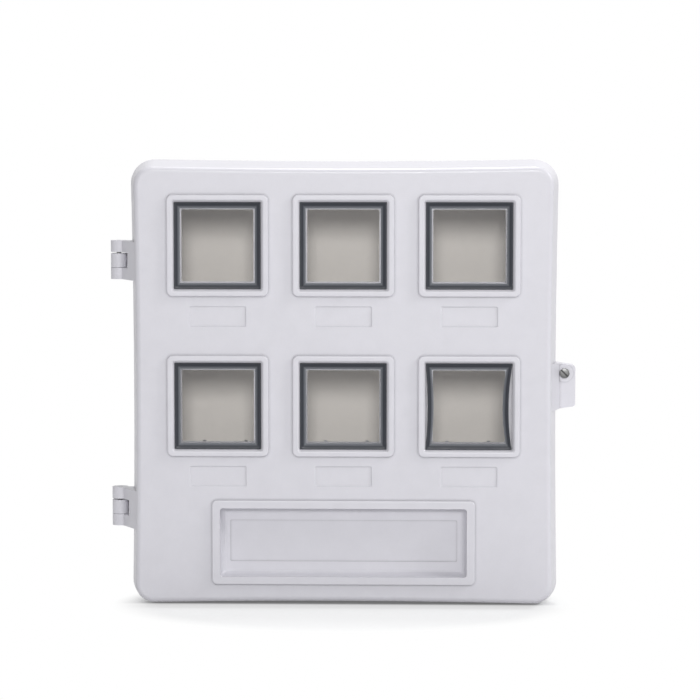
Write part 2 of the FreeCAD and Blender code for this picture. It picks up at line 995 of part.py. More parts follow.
def window_pane(at):
    half = seat_half - pane_margin
    return prism(square_line(half, seat_corner, pane_y, at), pane_thickness)


def seal_line(half, y, at, left_bow, right_bow, lean):
    """Sharp-cornered square whose upright sides can bow towards its middle, and whose lower
    right corner can lean the same way."""
    x, z = at

    def upright(side, bow, start, end):
        if bow == 0:
            return Part.makeLine(start, end)
        return Part.Arc(start, V(x + side * (half - bow), y, z), end).toShape()

    low_left = V(x - half, y, z - half)
    low_right = V(x + half - lean, y, z - half)
    high_right = V(x + half, y, z + half)
    high_left = V(x - half, y, z + half)
    edges = [
        Part.makeLine(low_left, low_right),
        upright(1, right_bow, low_right, high_right),
        Part.makeLine(high_right, high_left),
        upright(-1, left_bow, high_left, low_left),
    ]
    return Part.Wire(edges)


def window_seal(at, left_bow=0.0, right_bow=0.0, lean=0.0):
    """Rubber wedge on the margin of the pane: high at its heel, low at its toe."""
    heel = pane_y - glazing_heel_height
    toe = pane_y - glazing_toe_height
    inner = seat_half - glazing_width
    crest = seat_half - glazing_crest
    bows = (left_bow, right_bow, lean)
    body = prism(seal_line(seat_half, pane_y, at, *bows), heel - pane_y)
    bevel = taper(seal_line(inner, toe, at, *bows), seal_line(crest, heel, at, *bows))
    opening = prism(seal_line(inner, pane_y, at, *bows), toe - pane_y)
    return body.cut(bevel).cut(opening)


# Lock

def clip_levels():
    """Back and front of the clip in the screw's groove, just inside the latch."""
    back = rim_y - clip_clearance
    return back - clip_thickness, back


def lock_screw():
    seat = lock_boss_y - screw_head_gap
    tip = parting_y + screw_engagement
    head_y = seat - screw_head_height
    head = bevelled_head(
        screw_head_radius, screw_head_height, screw_head_bevel, lock_x, seat, lock_z
    )
    shank = rod(screw_radius, (lock_x, seat, lock_z), (lock_x, tip, lock_z))
    front, back = clip_levels()
    start = (lock_x, front - clip_play, lock_z)
    end = (lock_x, back + clip_play, lock_z)
    groove = rod(screw_radius, start, end).cut(rod(screw_radius - groove_depth, start, end))
    reach = 2 * screw_head_radius
    slot = block(
        (lock_x - reach, head_y, lock_z - screw_slot_width / 2),
        (lock_x + reach, head_y + screw_slot_depth, lock_z + screw_slot_width / 2),
    )
    slot.rotate(V(lock_x, 0, lock_z), V(0, 1, 0), screw_slot_angle)
    return fused([head, shank]).cut(groove).cut(slot)


def lock_clip():
    front, back = clip_levels()
    ring = rod(clip_radius, (lock_x, front, lock_z), (lock_x, back, lock_z))
    bore_radius = screw_radius - groove_depth + clip_bore_fit
    return ring.cut(rod(bore_radius, (lock_x, front, lock_z), (lock_x, back, lock_z)))


# Writing the pieces

def pieces():
    made = {
        "base_box": [base_box()],
        "door_seal": [door_seal()],
        "meter_board": [meter_board()],
        "board_screws": board_screws(),
        "meter_hanger_screws": meter_hanger_screws(),
        "breaker_rail": [breaker_rail()],
        "rail_screws": rail_screws(),
        "neutral_bar": [terminal_bar(bar_middle_x)],
        "neutral_bar_screws": terminal_screws(bar_middle_x),
        "earth_bar": [terminal_bar(-bar_middle_x)],
        "earth_bar_screws": terminal_screws(-bar_middle_x),
        "bar_feet": bar_feet(),
        "bar_screws": bar_screws(),
        "cable_grommets": cable_grommets(),
        "hinge_pin_upper": [hinge_pin(hinge_middles[0])],
        "hinge_pin_lower": [hinge_pin(hinge_middles[1])],
        "lock_insert": [lock_insert()],
        "cover": [cover()],
        "lock_clip": [lock_clip()],
        "lock_screw": [lock_screw()],
    }
    for number, at in enumerate(window_places(), start=1):
        made[f"window_pane_{number}"] = [window_pane(at)]
        if number == loose_seal_number:
            bows = (loose_seal_left_bow, loose_seal_right_bow, loose_seal_lean)
            seal = window_seal(at, *bows)
        else:
            seal = window_seal(at)
        made[f"window_seal_{number}"] = [seal]
    return made


def solids_of(shapes):
    return [solid for shape in shapes for solid in shape.Solids]


def main():
    os.makedirs("parts", exist_ok=True)
    for name, shapes in pieces().items():
        solids = solids_of(shapes)
        whole = solids[0] if len(solids) == 1 else Part.makeCompound(solids)
        if not whole.isValid():
            raise ValueError(name + " is not a valid solid")
        whole.exportStep("parts/" + name + ".step")
        print(name, len(solids), "solid(s)", round(whole.Volume / 1000, 2), "cm3")


main()
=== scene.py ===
import math

import bmesh
import bpy
from bpy.props import FloatProperty, FloatVectorProperty, IntProperty, PointerProperty
from mathutils import Matrix, Vector


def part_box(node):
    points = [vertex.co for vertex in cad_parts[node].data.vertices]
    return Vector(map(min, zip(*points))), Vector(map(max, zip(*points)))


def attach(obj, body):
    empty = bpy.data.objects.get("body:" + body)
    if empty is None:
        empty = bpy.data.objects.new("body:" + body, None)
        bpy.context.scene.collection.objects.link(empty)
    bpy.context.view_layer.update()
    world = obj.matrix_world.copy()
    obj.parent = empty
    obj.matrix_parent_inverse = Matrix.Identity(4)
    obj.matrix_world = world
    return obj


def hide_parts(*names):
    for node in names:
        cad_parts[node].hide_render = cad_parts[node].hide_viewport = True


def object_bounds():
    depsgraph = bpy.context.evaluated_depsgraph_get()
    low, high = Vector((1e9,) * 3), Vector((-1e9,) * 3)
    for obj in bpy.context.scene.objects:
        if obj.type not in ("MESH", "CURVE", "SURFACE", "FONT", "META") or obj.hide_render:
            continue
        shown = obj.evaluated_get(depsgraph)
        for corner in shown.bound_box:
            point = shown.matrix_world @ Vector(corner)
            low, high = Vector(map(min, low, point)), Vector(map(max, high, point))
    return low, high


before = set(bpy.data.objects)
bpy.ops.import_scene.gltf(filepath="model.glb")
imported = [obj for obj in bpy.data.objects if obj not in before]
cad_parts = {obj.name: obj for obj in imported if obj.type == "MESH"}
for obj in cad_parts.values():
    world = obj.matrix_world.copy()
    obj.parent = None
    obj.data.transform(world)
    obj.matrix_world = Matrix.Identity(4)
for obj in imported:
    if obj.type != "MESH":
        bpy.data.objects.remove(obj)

CAD_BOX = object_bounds()

bl_info = {
    "name": "Electric Meter Box",
    "version": (1, 0, 0),
    "blender": (4, 5, 0),
    "location": "View3D > Sidebar > Meter Box",
    "description": "Dresses a six-window electric meter box with its finishes, seals and screws",
    "category": "Object",
}

MM = 0.001
WINDOW_COUNT = 6
COVER = "cover"
BOX = "box"
WHITE = (1.0, 1.0, 1.0)

# Settings that the points of the glazing seals carry to their tree under the same names
BOWS = ("left_bow", "right_bow", "right_lean")

# Each lamp with its place, its width and the setting that holds its power
LIGHTS = (
    ("front light", (0.2, -5.8, 1.65), 1.6, "front_power"),
    ("right light", (3.35, -1.1, 2.0), 1.0, "side_power"),
    ("top light", (0.2, 0.5, 3.0), 0.8, "top_power"),
)
LIT_POINT = (0, -0.15, 0)

# Half width of the floor, its gap under the box, and how far forward its middle lies in the box's depth
FLOOR_HALF = 9
FLOOR_GAP = 0.5 * MM
PATCH_FORWARD = 0.75

# How far drawn and turned metal stretches its streaks along each axis
ALONG_X = (30.0, 2600.0, 2600.0)
TURNED = (1800.0, 500.0, 1800.0)


# Sizes and colours that can be changed

class StageSettings(bpy.types.PropertyGroup):
    camera_distance: FloatProperty(
        name="Camera Distance", description="From the camera to the rim of the cover",
        default=3.8, min=1, unit="LENGTH")
    camera_elevation: FloatProperty(
        name="Camera Elevation", description="Height angle from which the box is seen",
        default=math.radians(5), subtype="ANGLE")
    camera_azimuth: FloatProperty(
        name="Camera Azimuth", description="How far to the right of the middle the camera stands",
        default=math.radians(1.6), subtype="ANGLE")
    view_width: FloatProperty(
        name="View Width", description="Width of the view at the rim of the cover",
        default=0.889, unit="LENGTH")
    aim: FloatVectorProperty(
        name="Aim", description="Point at the middle of the view",
        default=(0.007, -0.1056, 0.041), subtype="TRANSLATION")
    front_power: FloatProperty(
        name="Front Light", description="Power of the large soft light above and behind the camera",
        default=154, min=0, unit="POWER")
    side_power: FloatProperty(
        name="Right Light", description="Power of the soft light at the right",
        default=56, min=0, unit="POWER")
    top_power: FloatProperty(
        name="Top Light", description="Power of the soft light above and behind the box",
        default=52, min=0, unit="POWER")
    world_level: FloatProperty(
        name="Room Light", description="Level of the light from all around",
        default=0.32, min=0)
    floor_colour: FloatVectorProperty(
        name="Floor Colour", description="Pale floor as the camera sees it",
        default=(0.93, 0.94, 0.95), subtype="COLOR", min=0, max=1)
    # Darker copy of the floor that only light bounces off; by growing darker near and under the box it
    # paints shade on the box's underside
    floor_bounce: FloatVectorProperty(
        name="Floor Bounce", description="Floor as it lights the underside of the box",
        default=(0.74, 0.74, 0.75), subtype="COLOR", min=0, max=1)
    # Shares of painted white glow that lighten the box's shadow on the floor, before the box and under
    # it
    floor_lift: FloatProperty(
        name="Floor Lift", description="Share of white in the floor just before the box",
        default=0.62, min=0, max=1)
    under_lift: FloatProperty(
        name="Under Lift", description="Share of white in the floor under the box",
        default=0.14, min=0, max=1)
    floor_patch: FloatVectorProperty(
        name="Floor Patch", description="Half width and half depth of the floor that shows shade",
        default=(0.25, 0.17), size=2, min=0.01, unit="LENGTH")
    patch_edge: FloatVectorProperty(
        name="Patch Edge", description="Shares of the patch between which its shade fades out",
        default=(0.95, 1.2), size=2, min=0)
    under_edge: FloatVectorProperty(
        name="Under Edge", description="Depths between which the shade under the box fades out",
        default=(0.008, -0.006), size=2, unit="LENGTH")


class FinishSettings(bpy.types.PropertyGroup):
    housing: FloatVectorProperty(
        name="Housing", description="Colour of the moulded base and cover",
        default=(0.635, 0.628, 0.671), subtype="COLOR", min=0, max=1)
    board: FloatVectorProperty(
        name="Board", description="Colour of the meter board",
        default=(0.83, 0.785, 0.73), subtype="COLOR", min=0, max=1)
    rubber: FloatVectorProperty(
        name="Glazing Rubber", description="Colour of the window seals",
        default=(0.028, 0.031, 0.040), subtype="COLOR", min=0, max=1)
    # Colour of the painted sheen on the seals' inner slopes, which stands in for a reflection
    lip: FloatVectorProperty(
        name="Rubber Lip", description="Colour of the seals' inner lips",
        default=(0.17, 0.18, 0.20), subtype="COLOR", min=0, max=1)
    black_rubber: FloatVectorProperty(
        name="Black Rubber", description="Colour of the door seal and grommets",
        default=(0.022, 0.022, 0.024), subtype="COLOR", min=0, max=1)
    insulator: FloatVectorProperty(
        name="Insulator", description="Colour of the pillars under the bars",
        default=(0.30, 0.045, 0.035), subtype="COLOR", min=0, max=1)
    zinc: FloatVectorProperty(
        name="Zinc Plate", description="Colour of plated steel",
        default=(0.62, 0.62, 0.60), subtype="COLOR", min=0, max=1)
    dark_steel: FloatVectorProperty(
        name="Dark Steel", description="Colour of the lock screw",
        default=(0.19, 0.19, 0.19), subtype="COLOR", min=0, max=1)
    brass: FloatVectorProperty(
        name="Brass", description="Colour of the bars and the lock insert",
        default=(0.66, 0.47, 0.19), subtype="COLOR", min=0, max=1)


class HardwareSettings(bpy.types.PropertyGroup):
    recess_depth: FloatProperty(
        name="Recess Depth", description="Depth of the cross in a screw's head",
        default=1.7 * MM, unit="LENGTH")
    recess_width: FloatProperty(
        name="Recess Width", description="Width of one arm of the cross",
        default=1.1 * MM, unit="LENGTH")
    slot_width: FloatProperty(
        name="Slot Width", description="Width of the slot in a terminal screw",
        default=1.0 * MM, unit="LENGTH")
    thread_pitch: FloatProperty(
        name="Thread Pitch", description="Pitch of the lock screw's thread",
        default=1.0 * MM, unit="LENGTH")
    thread_depth: FloatProperty(
        name="Thread Depth", description="Depth of the lock screw's thread",
        default=0.55 * MM, unit="LENGTH")
    head_width: FloatProperty(
        name="Head Width", description="Width of a cross-head screw's head",
        default=9.5 * MM, unit="LENGTH")
    head_height: FloatProperty(
        name="Head Height", description="Height of a cross-head screw's head",
        default=3.0 * MM, unit="LENGTH")
    shank_width: FloatProperty(
        name="Shank Width", description="Width of a cross-head screw's shank",
        default=4.96 * MM, unit="LENGTH")
    terminal_head_height: FloatProperty(
        name="Terminal Head Height", description="Height of a terminal screw's head",
        default=2.5 * MM, unit="LENGTH")
    terminal_width: FloatProperty(
        name="Terminal Width", description="Width of a terminal screw's shank",
        default=3.96 * MM, unit="LENGTH")
    hinge_pin_width: FloatProperty(
        name="Hinge Pin Width", description="Width of a hinge pin's shank",
        default=5.96 * MM, unit="LENGTH")
    hinge_pin_edge: FloatProperty(
        name="Hinge Pin Edge", description="Bevel at each end of a hinge pin",
        default=0.8 * MM, unit="LENGTH")
    lock_head_height: FloatProperty(
        name="Lock Head Height", description="Height of the lock screw's head",
        default=4.0 * MM, unit="LENGTH")
    lock_shank_width: FloatProperty(
        name="Lock Shank Width", description="Width of the lock screw's plain shank",
        default=5.4 * MM, unit="LENGTH")
    lock_groove: FloatProperty(
        name="Lock Groove", description="Depth of the groove that holds the clip",
        default=0.5 * MM, unit="LENGTH")
    lock_slot_depth: FloatProperty(
        name="Lock Slot Depth", description="Depth of the slot in the lock screw",
        default=1.8 * MM, unit="LENGTH")
    lock_slot_width: FloatProperty(
        name="Lock Slot Width", description="Width of the slot in the lock screw",
        default=1.9 * MM, unit="LENGTH")
    lock_slot_turn: FloatProperty(
        name="Lock Slot Turn", description="Slant of the slot in the lock screw",
        default=math.radians(45), subtype="ANGLE")
    seed: IntProperty(
        name="Seed", description="Sets how the screws happen to be turned", default=7)


class WindowSettings(bpy.types.PropertyGroup):
    seal_width: FloatProperty(
        name="Seal Width", description="Breadth of a glazing seal from the seat inwards",
        default=7.3 * MM, unit="LENGTH")
    seal_groove: FloatProperty(
        name="Seal Groove", description="Depth of the line along a glazing seal",
        default=0.25 * MM, unit="LENGTH")
    seal_steps: IntProperty(
        name="Seal Steps", description="Lengths that one side of a seal is divided into",
        default=24, min=2)
    left_bow: FloatProperty(
        name="Left Bow", description="How far the lower right seal's left side has bowed in",
        default=2.5 * MM, unit="LENGTH")
    right_bow: FloatProperty(
        name="Right Bow", description="How far the lower right seal's right side has bowed in",
        default=4.3 * MM, unit="LENGTH")
    right_lean: FloatProperty(
        name="Right Lean", description="How far that seal's lower right corner has moved in",
        default=0.8 * MM, unit="LENGTH")


class GrommetSettings(bpy.types.PropertyGroup):
    lip: FloatProperty(
        name="Lip", description="How far the lips stand out over the wall ring",
        default=3.0 * MM, unit="LENGTH")
    skin: FloatProperty(
        name="Skin", description="Thickness of the rubber", default=2.0 * MM, unit="LENGTH")
    step: FloatProperty(
        name="Tip Depth", description="How far the tip stands below the lip",
        default=5.0 * MM, unit="LENGTH")
    bevel: FloatProperty(
        name="Bevel", description="Slant of the inner lip", default=1.0 * MM, unit="LENGTH")
    steps: IntProperty(
        name="Steps", description="Rings between the lip and the tip", default=3, min=1)


SETTINGS = {
    "meter_box_stage": StageSettings,
    "meter_box_finish": FinishSettings,
    "meter_box_window": WindowSettings,
    "meter_box_hardware": HardwareSettings,
    "meter_box_grommet": GrommetSettings,
}


# Node trees

class Wiring:
    """Adds nodes to one tree and links what they are given."""

    def __init__(self, tree):
        self.tree = tree

    def add(self, kind, sockets=None, **values):
        node = self.tree.nodes.new(kind)
        for name, value in values.items():
            setattr(node, name, value)
        for key, value in (sockets or {}).items():
            self.feed(node.inputs[key], value)
        return node

    def feed(self, socket, value):
        if isinstance(value, bpy.types.NodeSocket):
            self.tree.links.new(value, socket)
        elif hasattr(socket.default_value, "__len__") and len(value) == 3:
            size = len(socket.default_value)
            socket.default_value = (*value, 1.0) if size == 4 else value
        else:
            socket.default_value = value

    def math(self, operation, first, second=0.5):
        return self.add("ShaderNodeMath", {0: first, 1: second}, operation=operation).outputs[0]

    def noise(self, place, size, detail, roughness=0.5):
        """Cloudy value that changes from place to place."""
        return self.add("ShaderNodeTexNoise", {"Vector": place, "Scale": size, "Detail": detail,
                                               "Roughness": roughness}).outputs["Fac"]

    def scale(self, vector, level):
        return self.add("ShaderNodeVectorMath", {0: vector, 3: level}, operation="SCALE").outputs[0]

    def ease(self, value, ends, low, high):
        """Goes smoothly from low to high while a value goes from one end to the other."""
        return self.add("ShaderNodeMapRange", {
            "Value": value, "From Min": ends[0], "From Max": ends[1], "To Min": low,
            "To Max": high}, interpolation_type="SMOOTHSTEP").outputs[0]

    def blend(self, share, first, second):
        """Shader between the outputs of two others."""
        return self.add("ShaderNodeMixShader", {
            0: share, 1: first.outputs[0], 2: second.outputs[0]})

    def named(self, label, kind):
        """Value that the points carry under a name."""
        return self.add("GeometryNodeInputNamedAttribute", {"Name": label},
                        data_type=kind).outputs["Attribute"]

    def arrange(self):
        """Sets the nodes out from left to right in the order they were made."""
        for place, node in enumerate(self.tree.nodes):
            node.location = (220 * (place % 8), -260 * (place // 8))


def new_tree(family, name, inputs, outputs):
    """Node group whose sockets are given by label, kind and, for some, a value."""
    tree = bpy.data.node_groups.new(name, family)
    for label, kind, *value in inputs:
        socket = tree.interface.new_socket(label, in_out="INPUT", socket_type=kind)
        if value:
            socket.default_value = value[0]
    for label, kind in outputs:
        tree.interface.new_socket(label, in_out="OUTPUT", socket_type=kind)
    wiring = Wiring(tree)
    return wiring, wiring.add("NodeGroupInput").outputs, wiring.add("NodeGroupOutput").inputs


def mottle_group():
    """Cloudy colour and gloss of moulded plastic or rubber, with fine specks."""
    w, given, out = new_tree(
        "ShaderNodeTree", "Moulded Mottle",
        [("Colour", "NodeSocketColor", (0.5, 0.5, 0.5, 1)),
         ("Cloud Size", "NodeSocketFloat", 60.0),
         ("Contrast", "NodeSocketFloat", 0.06),
         ("Gloss", "NodeSocketFloat", 0.4),
         ("Gloss Change", "NodeSocketFloat", 0.1)],
        [("Colour", "NodeSocketColor"), ("Roughness", "NodeSocketFloat")])
    place = w.add("ShaderNodeTexCoord").outputs["Object"]
    cloud = w.noise(place, given["Cloud Size"], 6.0, 0.62)
    speck = w.noise(place, w.math("MULTIPLY", given["Cloud Size"], 14.0), 2.0)
    both = w.math("ADD", w.math("MULTIPLY", cloud, 0.6), w.math("MULTIPLY", speck, 0.4))
    swing = w.math("MULTIPLY", w.math("SUBTRACT", both, 0.5), given["Contrast"])
    level = w.math("ADD", w.math("MULTIPLY", swing, 4.0), 1.0)
    w.feed(out["Colour"], w.scale(given["Colour"], level))
    shift = w.math("MULTIPLY", w.math("SUBTRACT", cloud, 0.5), given["Gloss Change"])
    w.feed(out["Roughness"], w.math("ADD", given["Gloss"], w.math("MULTIPLY", shift, 3.0)))
    w.arrange()
    return w.tree


def grain_group():
    """Height of a moulded skin: a soft ripple with a fine grain over it."""
    w, given, out = new_tree(
        "ShaderNodeTree", "Skin Grain",
        [("Grain Size", "NodeSocketFloat", 900.0), ("Ripple", "NodeSocketFloat", 0.5)],
        [("Height", "NodeSocketFloat")])
    place = w.add("ShaderNodeTexCoord").outputs["Object"]
    fine = w.noise(place, given["Grain Size"], 3.0)
    wide = w.noise(place, w.math("MULTIPLY", given["Grain Size"], 0.04), 1.0)
    w.feed(out["Height"], w.math("ADD", fine, w.math("MULTIPLY", wide, given["Ripple"])))
    w.arrange()
    return w.tree


def streak_group():
    """Fine drawn lines of rolled or turned metal, with a patchy tarnish."""
    w, given, out = new_tree(
        "ShaderNodeTree", "Metal Streaks",
        [("Colour", "NodeSocketColor", (0.6, 0.6, 0.6, 1)),
         ("Stretch", "NodeSocketVector", (40.0, 2500.0, 2500.0)),
         ("Tarnish", "NodeSocketFloat", 0.2),
         ("Gloss", "NodeSocketFloat", 0.35)],
        [("Colour", "NodeSocketColor"), ("Roughness", "NodeSocketFloat"),
         ("Height", "NodeSocketFloat")])
    place = w.add("ShaderNodeTexCoord").outputs["Object"]
    drawn = w.add("ShaderNodeVectorMath", {0: place, 1: given["Stretch"]}, operation="MULTIPLY")
    line = w.noise(drawn.outputs[0], 1.0, 2.0)
    patch = w.noise(place, 220.0, 5.0)
    loss = w.math("MULTIPLY", patch, given["Tarnish"])
    level = w.math("SUBTRACT", w.math("ADD", 1.0, w.math("MULTIPLY", line, 0.12)), loss)
    w.feed(out["Colour"], w.scale(given["Colour"], level))
    rough = w.math("ADD", given["Gloss"], w.math("MULTIPLY", w.math("SUBTRACT", line, 0.5), 0.25))
    w.feed(out["Roughness"], w.math("ADD", rough, w.math("MULTIPLY", loss, 0.4)))
    w.feed(out["Height"], line)
    w.arrange()
    return w.tree


def painted_shade_group():
    """Paints shade into a colour where the surface is hollow, as in slots and corners."""
    w, given, out = new_tree(
        "ShaderNodeTree", "Corner Soil",
        [("Colour", "NodeSocketColor", (0.5, 0.5, 0.5, 1)),
         ("Openness", "NodeSocketFloat", 1.0),
         ("Strength", "NodeSocketFloat", 1.0)],
        [("Colour", "NodeSocketColor")])
    # painted shade: the colour grows darker as the surface is less open
    level = w.math("POWER", given["Openness"], given["Strength"])
    w.feed(out["Colour"], w.scale(given["Colour"], level))
    w.arrange()
    return w.tree


def new_geometry_tree(name, inputs):
    shape = ("Geometry", "NodeSocketGeometry")
    return new_tree("GeometryNodeTree", name, [shape] + inputs, [shape])


def close_tree(w, geometry, given, out):
    """Ends a tree in real copies that carry its material."""
    real = w.add("GeometryNodeRealizeInstances", {0: geometry})
    painted = w.add("GeometryNodeSetMaterial", {"Geometry": real.outputs[0],
                                                "Material": given["Material"]})
    w.feed(out[0], painted.outputs[0])
    w.arrange()


def copies_tree():
    """Copies an object onto points, each with its own turn, and gives them a material."""
    w, given, out = new_geometry_tree("Set Out Copies", [
        ("Copy", "NodeSocketObject"), ("Most Turn", "NodeSocketFloat"),
        ("Seed", "NodeSocketInt"), ("Material", "NodeSocketMaterial")])
    copy = w.add("GeometryNodeObjectInfo", {"Object": given["Copy"]})
    chance = w.add("FunctionNodeRandomValue", data_type="FLOAT")
    w.feed(chance.inputs[3], given["Most Turn"])
    w.feed(chance.inputs["Seed"], given["Seed"])
    turn = w.add("ShaderNodeCombineXYZ", {"Y": chance.outputs[1]})
    spin = w.add("FunctionNodeEulerToRotation", {0: turn.outputs[0]})
    placed = w.add("GeometryNodeInstanceOnPoints", {
        "Points": given["Geometry"], "Instance": copy.outputs["Geometry"],
        "Rotation": spin.outputs[0]})
    close_tree(w, placed.outputs[0], given, out)
    return w.tree


def seals_tree():
    """Copies a square seal onto points and bows its upright sides by each point's numbers."""
    w, given, out = new_geometry_tree("Bowed Seals", [
        ("Copy", "NodeSocketObject"), ("Half Width", "NodeSocketFloat"),
        ("Material", "NodeSocketMaterial")])
    copy = w.add("GeometryNodeObjectInfo", {"Object": given["Copy"]})
    placed = w.add("GeometryNodeInstanceOnPoints", {
        "Points": given["Geometry"], "Instance": copy.outputs["Geometry"]})
    real = w.add("GeometryNodeRealizeInstances", {0: placed.outputs[0]})
    place = w.add("GeometryNodeInputPosition").outputs[0]
    local = w.add("ShaderNodeVectorMath", {0: place, 1: w.named("middle", "FLOAT_VECTOR")},
                  operation="SUBTRACT")
    parts = w.add("ShaderNodeSeparateXYZ", {0: local.outputs[0]}).outputs
    across = w.math("ABSOLUTE", parts["X"])
    slant = w.math("DIVIDE", parts["Z"], across)
    full = w.math("SUBTRACT", 1.0, w.math("MULTIPLY", slant, slant))
    share = w.math("MAXIMUM", full, 0.0)
    left_bow, right_bow, right_lean = (w.named(label, "FLOAT") for label in BOWS)
    on_right = w.math("GREATER_THAN", parts["X"], 0.0)
    to_left = w.math("MULTIPLY", on_right, right_bow)
    to_right = w.math("MULTIPLY", w.math("SUBTRACT", 1.0, on_right), left_bow)
    shift = w.math("MULTIPLY", w.math("SUBTRACT", to_right, to_left), share)
    out_share = w.math("DIVIDE", w.math("MAXIMUM", parts["X"], 0.0), given["Half Width"])
    low_share = w.math("SUBTRACT", 0.5, w.math(
        "MULTIPLY", w.math("DIVIDE", parts["Z"], given["Half Width"]), 0.5))
    lean = w.math("MULTIPLY", right_lean, w.math("MULTIPLY", out_share, low_share))
    offset = w.add("ShaderNodeCombineXYZ", {"X": w.math("SUBTRACT", shift, lean)})
    moved = w.add("GeometryNodeSetPosition", {"Geometry": real.outputs[0],
                                              "Offset": offset.outputs[0]})
    close_tree(w, moved.outputs[0], given, out)
    return w.tree


TREE_MAKERS = {
    "Moulded Mottle": mottle_group,
    "Skin Grain": grain_group,
    "Metal Streaks": streak_group,
    "Corner Soil": painted_shade_group,
    "Set Out Copies": copies_tree,
    "Bowed Seals": seals_tree,
}


def shared_tree(name):
    """A node group of the table above, made once."""
    return bpy.data.node_groups.get(name) or TREE_MAKERS[name]()


# Materials

def new_material(name):
    """Material with a Principled shader, and the wiring of its tree."""
    material = bpy.data.materials.new(name)
    material.use_nodes = True
    return material, Wiring(material.node_tree), material.node_tree.nodes["Principled BSDF"]


def finish_group(w, name, sockets):
    """Places a shared group in a material and feeds it."""
    group = w.add("ShaderNodeGroup", node_tree=shared_tree(name))
    for label, value in sockets.items():
        w.feed(group.inputs[label], value)
    return group.outputs


def moulded(name, colour, gloss, contrast, grain_size, grain_depth, cloud_size=60.0, shine=0.5,
            painted_shade=0.0, painted_shade_reach=3.5 * MM):
    """Moulded plastic, board or rubber, with shade painted into its corners when a strength for it is
    given.
    """
    material, w, shader = new_material(name)
    shader.inputs["Specular IOR Level"].default_value = shine
    mottle = finish_group(w, "Moulded Mottle", {
        "Colour": tuple(colour), "Cloud Size": cloud_size, "Contrast": contrast,
        "Gloss": gloss, "Gloss Change": 0.12})
    grain = finish_group(w, "Skin Grain", {"Grain Size": grain_size, "Ripple": 1.5})
    bump = w.add("ShaderNodeBump", {"Strength": 0.35, "Distance": grain_depth,
                                    "Height": grain["Height"]})
    skin = mottle["Colour"]
    # painted shade in hollows and corners, from how open the surface is
    if painted_shade:
        openness = w.add("ShaderNodeAmbientOcclusion", {"Distance": painted_shade_reach},
                         samples=8, only_local=True).outputs["AO"]
        skin = finish_group(w, "Corner Soil", {
            "Colour": skin, "Openness": openness, "Strength": painted_shade})["Colour"]
    w.feed(shader.inputs["Base Color"], skin)
    w.feed(shader.inputs["Roughness"], mottle["Roughness"])
    w.feed(shader.inputs["Normal"], bump.outputs["Normal"])
    w.arrange()
    return material


def rubber_with_painted_sheen(name, colour, lip):
    """Glazing rubber with a painted sheen that grows paler towards its inner lip, by the seal's own
    attribute.
    """
    material = moulded(name, colour, gloss=0.42, contrast=0.10, grain_size=900.0,
                       grain_depth=0.03 * MM, shine=0.3)
    w = Wiring(material.node_tree)
    base = material.node_tree.nodes["Principled BSDF"].inputs["Base Color"]
    # painted sheen: the lip colour takes over towards the seal's inner edge
    reach = w.add("ShaderNodeAttribute", attribute_name="lip").outputs["Fac"]
    both = w.add("ShaderNodeMix", {0: reach, 6: base.links[0].from_socket, 7: tuple(lip)},
                 data_type="RGBA")
    w.feed(base, both.outputs[2])
    w.arrange()
    return material


def metal(name, colour, gloss, tarnish, stretch, painted_shade=2.0, painted_shade_reach=2.0 * MM):
    """Plated steel or brass, with shade painted into its slots and corners."""
    material, w, shader = new_material(name)
    streaks = finish_group(w, "Metal Streaks", {
        "Colour": tuple(colour), "Stretch": stretch, "Tarnish": tarnish, "Gloss": gloss})
    bump = w.add("ShaderNodeBump", {"Strength": 0.25, "Distance": 0.02 * MM,
                                    "Height": streaks["Height"]})
    # painted shade in slots and corners, from how open the surface is
    openness = w.add("ShaderNodeAmbientOcclusion", {"Distance": painted_shade_reach}).outputs["AO"]
    painted_shaded = finish_group(w, "Corner Soil", {
        "Colour": streaks["Colour"], "Openness": openness, "Strength": painted_shade})
    shader.inputs["Metallic"].default_value = 1.0
    w.feed(shader.inputs["Base Color"], painted_shaded["Colour"])
    w.feed(shader.inputs["Roughness"], streaks["Roughness"])
    w.feed(shader.inputs["Normal"], bump.outputs["Normal"])
    w.arrange()
    return material


def clear_pane(name):
    """Thin clear sheet that mirrors more where it is seen at a slant."""
    material, w, shader = new_material(name)
    nodes = material.node_tree.nodes
    nodes.remove(shader)
    clear = w.add("ShaderNodeBsdfTransparent", {"Color": WHITE})
    mirror = w.add("ShaderNodeBsdfGlossy", {"Color": WHITE, "Roughness": 0.04})
    slant = w.add("ShaderNodeFresnel", {"IOR": 1.45})
    both = w.blend(slant.outputs[0], clear, mirror)
    w.feed(nodes["Material Output"].inputs["Surface"], both.outputs[0])
    w.arrange()
    return material


